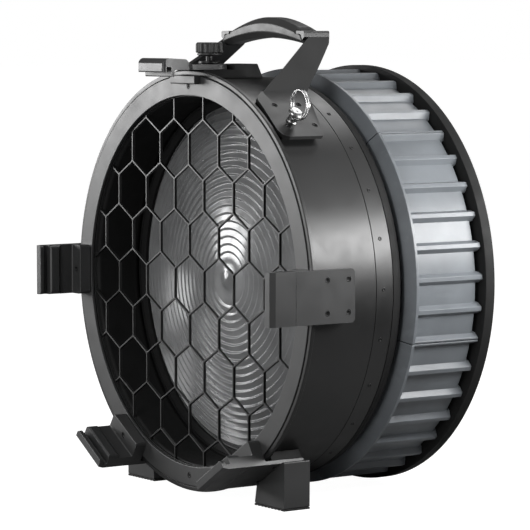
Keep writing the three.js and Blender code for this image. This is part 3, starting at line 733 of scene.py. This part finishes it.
def build_feet():
    """A wedge from each lower bracket to a level sole, on a grooved rubber pad."""
    bracket_face = 217.3
    nx, nz = polar(bracket_face, SIDE_ANGLES["lower_right"])
    tx, tz = polar(1, SIDE_ANGLES["lower_right"] + 90)

    def on_bracket(t):
        return nx + t * tx, nz + t * tz

    for side, sign in (("right", 1), ("left", -1)):
        low, high = span(f"{side}_foot")
        sole = low.z
        inner, outer = (abs(v) for v in sorted((low.x, high.x), key=abs))
        outline = rounded([(*on_bracket(-24), 0.8), (inner, sole, 1.5), (outer, sole, 1.0),
                           (outer, sole + 6, 2.0), (*on_bracket(32.5), 2.0)], 1.0)
        foot = prism([(sign * x, z) for x, z in outline], low.y, high.y, "y")
        fine(f"{side}_foot", foot, bevel=0.7, slot="satin_black_plate")

        pad_low, pad_high = span(f"{side}_foot_pad")
        grooves, margin, slant = 8, 3, 0.6
        roof = pad_low.z + 0.9
        pitch = (outer - inner - 2 * margin) / grooves
        pad = [(inner, pad_high.z), (inner, pad_low.z)]
        for i in range(grooves):
            x = inner + margin + pitch * i
            pad += [(x, pad_low.z), (x + slant, roof), (x + pitch * 0.4, roof),
                    (x + pitch * 0.4 + slant, pad_low.z)]
        pad += [(outer, pad_low.z), (outer, pad_high.z)]
        tread = prism([(sign * x, z) for x, z in pad], pad_low.y, pad_high.y, "y")
        fine(f"{side}_foot_pad", tread, bevel=0.2)


# ---- Top latch ----------------------------------------------------------------------------------

def stud_bore(radius, low=190, high=230):
    """A cutter for a hole round the stud."""
    return moved(rod(radius, low, high), 0, STUD_Y)


def build_latch_base():
    low, high = span("latch_base")
    rise, shelf, half = high.z, 213.5, high.x
    section = rounded([(low.y, 200), (high.y, 200), (high.y, 204.5, 0.8), (73, rise, 1.5),
                       (44, rise, 1.2), (44, shelf, 0.6), (low.y, shelf, 0.8)], 0.5)
    barrel = moved(rod(205.8, 0, 120, ROUND), 0, -10, 0, TO_BACK)
    base = carve(prism(section, -half, half, "x"), barrel)
    fine("latch_base", carve(base, stud_bore(4.6)), bevel=0.5, slot="inner_black")


def build_latch_stud():
    low, high = span("latch_stud")
    pitch, turns, crest, root = 1.25, 12, 3.9, 3.4
    profile = [(crest, low.z), (crest, high.z - pitch * turns)]
    for i in range(turns):
        z = high.z - pitch * (turns - i)
        profile += [(root, z + pitch * 0.35), (crest, z + pitch * 0.75)]
    fine("latch_stud", moved(pin(profile + [(3.0, high.z)]), 0, STUD_Y))


def build_latch_arm():
    """A long arm round the stud that widens to a domed hook in front of the plate."""
    low, high = span("latch_arm")
    front, half, top = low.y, high.x, high.z
    neck, shoulder = 17.5, -14
    plan = rounded([(-neck, -6, 4), (-half, shoulder, 4), (-half, front, 3.5), (half, front, 3.5),
                    (half, shoulder, 4), (neck, -6, 4)], 2, 5)
    plan += [(x, y + STUD_Y) for x, y in (polar(neck, 180 * i / 24) for i in range(25))]
    foot, flat, roof, hook, lip = 213.8, 219, 217, 211.5, 207
    side = rounded([
        (front + 5, top + 1.6, 6.0), (front, top - 3.4, 3.0), (front, hook, 1.4),
        (front + 4, hook, 1.2), (front + 4, roof, 1.4), (-36, roof, 1.2), (-36, lip, 1.2),
        (-32, lip, 1.2), (-32, foot, 1.6), (60, foot, 0.2), (60, flat, 0.2), (-13, flat, 3.0),
        (-18, top + 0.4, 4.0)], 1, 5)
    arm = carve(prism(side, -half - 2, half + 2, "x"), prism(plan, 200, 240, "z"), "INTERSECT")
    fine("latch_arm", carve(arm, stud_bore(4.5)), bevel=0.8)


def build_latch_washer():
    low, high = span("latch_washer")
    radius, soft = high.x, 0.5
    washer = pin([(radius - soft, low.z), (radius, low.z + soft), (radius, high.z - soft),
                  (radius - soft, high.z)], 64)
    fine("latch_washer", carve(moved(washer, 0, STUD_Y), stud_bore(4.4, high=260)))


def build_latch_knob():
    low, high = span("latch_knob")
    radius, hub, cap, top = high.x, 5.6, 230.4, high.z
    flutes, steps = 20, 10

    def fluted(r, depth, z):
        loop = []
        for i in range(flutes * steps):
            wave = 0.5 - 0.5 * math.cos(2 * math.pi * i / steps)
            loop.append((*polar(r - depth * wave ** 0.7, 360 * i / (flutes * steps)), z))
        return loop

    profile = [
        (hub, 0, cap - 3.4), (radius - 2.4, 0, cap - 2.6), (radius - 1.6, 0, cap - 2.0),
        (radius - 1.6, 0, cap - 0.8), (radius - 2.2, 0, cap - 0.3), (radius - 2.2, 0, cap),
        (radius - 0.4, 1.2, cap + 0.3), (radius, 1.5, cap + 1.0), (radius, 1.5, top - 2.4),
        (radius - 0.6, 1.2, top - 0.9), (radius - 2.0, 0.4, top), (radius - 3.6, 0, top),
        (radius - 4.2, 0, top - 1.0), (3.0, 0, top - 1.2)]
    knob = moved(loft([fluted(*row) for row in profile]), 0, STUD_Y)
    thread_top = span("latch_arm")[1].z + 12.4
    fine("latch_knob", carve(knob, stud_bore(4.3, low.z - 1, thread_top)))


def build_rest_block():
    screw_low, screw_high = span("top_block_screw")
    screw_y = (screw_low.y + screw_high.y) / 2
    low, high = span("top_rest_block")
    outline = rounded([(low.y, low.z), (high.y, low.z), (high.y, high.z), (low.y, high.z)], 1.2)
    hole = moved(rod(2.8, screw_low.z - 0.4, high.z + 2, 24), 0, screw_y)
    block = carve(prism(outline, low.x, high.x, "x"), hole)
    fine("top_rest_block", block, bevel=0.6, slot="satin_black_plate")
    fine("top_block_screw", moved(socket_screw(2.4, 0, 1.3, 3.2), 0, screw_y, screw_high.z))


# ---- Handle -------------------------------------------------------------------------------------

LEAN = Vector((-0.478, 0, 0.878)).normalized()          # up the right-hand leg's sheet, across Y
FACE, SHEET = 214, 4                                    # outer face of the base plates, thickness
BEND, LEG_TOP = 46, 69                                  # where the leg starts and ends
HANDLE_SCREWS = [(-25.5, 23), (5, 22), (-25.5, 51.5), (5, 54.5)]
EYE_X, EYE_Y = -1.3, 30


def leg_mesh():
    """One bent sheet: a base plate on the barrel, a leaning leg, and a fold over the bar's end."""
    plan = rounded([(20.5, 17, 2), (17.5, 9.9, 2), (10.5, 7, 2), (-37, 8, 5), (-BEND, 18, 1),
                    (-BEND, 73, 1), (20.5, 57.5, 3)], 2, 4)
    base = prism(plan, FACE - SHEET, FACE, "z")
    tools = screw_recesses(HANDLE_SCREWS, FACE)
    tools.append(moved(rod(4.4, FACE - 8, FACE + 4), EYE_X, EYE_Y))
    base = carve(base, together(tools))
    base.transform(at_angle(HANDLE_ANGLE))

    nx, nz = polar(FACE - SHEET / 2, HANDLE_ANGLE)
    tx, tz = polar(BEND, HANDLE_ANGLE + 90)
    root = Vector((nx + tx, 0, nz + tz))
    out = Vector((LEAN.z, 0, -LEAN.x))
    to_leg = Matrix(((0, LEAN.x, out.x, root.x), (1, 0, 0, 0),
                     (0, LEAN.z, out.z, root.z), (0, 0, 0, 1)))
    end_front, end_back = 96, 121.5
    outline = rounded([
        (18, -2, 1), (72.5, -2, 1), (77, 5, 8), (92.5, 22, 14), (107.5, 40, 14), (118.5, 53.5, 8),
        (end_back, 61, 3), (end_back, 65, 0.5), (end_front, 65, 0.5), (end_front, 61, 2),
        (68, 38, 14), (48, 21.7, 14), (33, 11, 10), (22, 2, 3)], 2, 4)
    leg = prism(outline, -SHEET / 2, SHEET / 2, "z")
    leg.transform(to_leg)

    top = root + LEAN * LEG_TOP
    reach, fold_sheet = top.x - 8, 3
    inner, outer = root + LEAN * 60 - out * 2, root + LEAN * 61 + out * 2
    fold = rounded([(outer.x, outer.z, 0.2), (outer.x, top.z, 1.8), (reach, top.z, 1.2),
                    (reach, top.z - fold_sheet, 1.0), (top.x - 0.6, top.z - fold_sheet, 2.0),
                    (inner.x, inner.z, 0.2)], 1, 6)
    return carve(carve(leg, base, "UNION"), prism(fold, 90, end_back, "y"), "UNION")


def build_legs():
    leg = leg_mesh()
    heads = screw_heads(HANDLE_SCREWS, FACE)
    heads.transform(at_angle(HANDLE_ANGLE))
    for side, sign in (("right", 1), ("left", -1)):
        turn = Matrix.Scale(sign, 4, (1, 0, 0))
        meshes = [copied(mesh, turn) for mesh in (leg, heads)]
        for mesh in meshes:
            bmesh.ops.recalc_face_normals(mesh, faces=mesh.faces)
        fine(f"handle_leg_{side}", meshes[0], bevel=0.6)
        piece(f"handle_screws_{side}", meshes[1], "screw_steel", "barrel")
    leg.free()
    heads.free()


def build_grip_bar():
    """An arched bar, thinner to its ends, with a notch where each leg's fold lies on it."""
    y, ends, crown, drop, tall, deep, flat = 105, 69.6, 256, 11, 10.5, 15, 4.6
    notch_x, notch_z = 59.6, 249.2
    taper, lean = 0.3, 0.5444
    section = rounded([(deep, flat, 3), (deep / 2, tall, 4), (-deep / 2, tall, 4), (-deep, flat, 3),
                       (-deep, -flat, 3), (-deep / 2, -tall, 4), (deep / 2, -tall, 4),
                       (deep, -flat, 3)], 3, 4)
    stations = [-1 + 2 * i / 48 for i in range(49)]
    stations = sorted(stations + [s * notch_x / ends * k for s in (1, -1) for k in (0.998, 1.002)])
    loops = []
    for s in stations:
        middle = crown - drop * s * s
        loop = []
        for u, v in section:
            z = middle + v * (1 - taper * s * s)
            if abs(s) * ends > notch_x:
                z = min(z, notch_z)
            face = ends - (z - (crown - drop)) * lean
            loop.append((s * face, y + u, z))
        loops.append(loop)
    fine("handle_grip", loft(loops))


# ---- Safety eye and split ring ------------------------------------------------------------------

def build_eye():
    """A turned post with a cross hole, and a ring of two turns of wire through it."""
    profile = [(4, -3.9), (4, 0.3), (5.0, 0.3), (5.4, 0.7), (5.4, 1.4), (5.0, 1.8), (4.8, 2.2),
               (4.7, 2.8), (4.7, 8.6), (6.4, 9.0), (7.2, 9.8), (7.2, 11.6), (6.6, 12.5),
               (5.2, 13.0), (2.2, 13.0), (1.8, 12.4)]
    hole = FACE + 7
    post = moved(pin([(r, FACE + z) for r, z in profile], 48), EYE_X, EYE_Y)
    bore = moved(rod(3.7, -15, 15), EYE_X, EYE_Y, hole, Matrix.Rotation(math.radians(90), 4, "Y"))
    fine("safety_eye", carve(post, bore), bevel=0.5, turn=at_angle(HANDLE_ANGLE))

    radius, wire, rise, turns, steps, sides = 14.4, 0.90, 2.8, 2, 160, 14
    start = 262
    loops = []
    for i in range(steps + 1):
        turned = turns * i / steps
        cos, sin = polar(1, start + 360 * turned)
        along = EYE_Y + rise * (turned - turns / 2)
        loops.append([(EYE_X + (radius + u) * cos, along + v, hole + radius + (radius + u) * sin)
                      for u, v in (polar(wire, a) for a in evenly(sides))])
    fine("split_ring", loft(loops), turn=at_angle(HANDLE_ANGLE))


def finish_cad_nodes():
    """The plain inner pieces keep their CAD shape and take a softened edge and their finish."""
    kept = ["joining_ring", "front_slide_ring", "guide_tube", "focus_drum", "rear_slide_ring",
            "lens_cell", "lens_gasket", "handle_spacer_right", "handle_spacer_left"]
    kept += [f"follower_pin_{i}" for i in (1, 2, 3)]
    kept += [f"{side}_bracket_spacer" for side in SIDE_ANGLES]
    for node in kept:
        item = frame["nodes"][node]
        item.data.materials.clear()
        item.data.materials.append(MATERIALS[SLOT_OF[node]])
        soften(item, 0.4)


build_front()
build_guard()
build_lens()
build_barrel()
build_grip()
build_rear()
build_brackets()
build_feet()
build_latch_base()
build_latch_stud()
build_latch_arm()
build_latch_washer()
build_latch_knob()
build_rest_block()
build_legs()
build_grip_bar()
build_eye()
finish_cad_nodes()


# ---- Floor, light and camera --------------------------------------------------------------------

def build_stage():
    """A pale floor that the camera sees as white and the lamp sees as a light grey."""
    data = bpy.data.meshes.new("floor")
    reach, glow = 30, 0.985
    corners = [(-reach, -reach, 0), (reach, -reach, 0), (reach, reach, 0), (-reach, reach, 0)]
    data.from_pydata(corners, [], [(0, 1, 2, 3)])
    floor = bpy.data.objects.new("floor", data)
    bpy.context.collection.objects.link(floor)
    pale = Finish("pale_floor", Roughness=0.9, Specular_IOR_Level=0.1, Emission_Color=(1, 1, 1, 1))
    tone = pale.mix(pale.spread(pale.noise(400, 3), 0, 1), grey(0.24), grey(0.27))
    seen = pale.node("ShaderNodeLightPath").outputs["Is Camera Ray"]
    pale.tree.links.new(pale.maths("MULTIPLY", seen, glow), pale.shader.inputs["Emission Strength"])
    data.materials.append(pale.wire(tone))


def softbox(name, direction, distance, width, height, watts):
    """A soft light, measured in metres, that looks at the middle of the object from a direction."""
    light = bpy.data.lights.new(name, "AREA")
    light.shape = "RECTANGLE"
    light.size, light.size_y, light.energy = width, height, watts
    item = bpy.data.objects.new(name, light)
    toward = Vector(direction).normalized()
    item.location = (CAD_BOX[0] + CAD_BOX[1]) / 2 + toward * distance
    item.rotation_euler = toward.to_track_quat("Z", "Y").to_euler()
    bpy.context.collection.objects.link(item)


def build_light():
    """Softboxes, and a backdrop that is white to the camera but lights the lamp only faintly."""
    world = bpy.data.worlds.new("studio")
    world.use_nodes = True
    tree = world.node_tree
    sky = tree.nodes["Background"]
    white = tree.nodes.new("ShaderNodeBackground")
    for background, strength in ((sky, 0.08), (white, 1.0)):
        background.inputs["Color"].default_value = (1, 1, 1, 1)
        background.inputs["Strength"].default_value = strength
    path = tree.nodes.new("ShaderNodeLightPath")
    choose = tree.nodes.new("ShaderNodeMixShader")
    tree.links.new(path.outputs["Is Camera Ray"], choose.inputs[0])
    tree.links.new(sky.outputs[0], choose.inputs[1])
    tree.links.new(white.outputs[0], choose.inputs[2])
    tree.links.new(choose.outputs[0], tree.nodes["World Output"].inputs["Surface"])
    bpy.context.scene.world = world
    bpy.context.scene.view_settings.view_transform = "Standard"

    softbox("right_strip_softbox", (0.45, 0.22, 0.13), 0.52, 0.36, 0.15, 2.9)
    softbox("rear_right_softbox", (0.50, 0.57, 0.66), 2.4, 1.5, 1.2, 7)
    softbox("rear_left_softbox", (-0.25, 0.57, 0.78), 2.4, 1.1, 0.8, 12)
    softbox("front_left_softbox", (-0.80, -0.55, 0.17), 2.2, 1.5, 0.7, 38)
    softbox("front_softbox", (0.36, -0.93, 0.10), 2.4, 0.9, 2.2, 34)
    softbox("front_top_softbox", (0.15, -0.5, 1.0), 2.4, 1.4, 1.4, 16)


def build_camera():
    """The photograph's camera, as it was fitted to the ellipses and straight edges that show."""
    distance, aside, above = 2.9344, 0.0770, 0.0168
    data = bpy.data.cameras.new("camera")
    data.lens, data.sensor_width = 197.3, 36
    data.clip_start, data.clip_end = 0.1, 100
    item = bpy.data.objects.new("camera", data)
    azimuth, elevation = math.radians(55.07), math.radians(4.63)
    right = Vector((math.cos(azimuth), math.sin(azimuth), 0))
    level = math.cos(elevation)
    back = Vector((math.sin(azimuth) * level, -math.cos(azimuth) * level, math.sin(elevation)))
    up = back.cross(right)
    turn = Matrix((right, up, back)).transposed().to_4x4()
    place = ORIGIN + back * distance + right * aside + up * above
    item.matrix_world = Matrix.Translation(place) @ turn
    bpy.context.collection.objects.link(item)
    bpy.context.scene.camera = item


build_stage()
build_light()
build_camera()
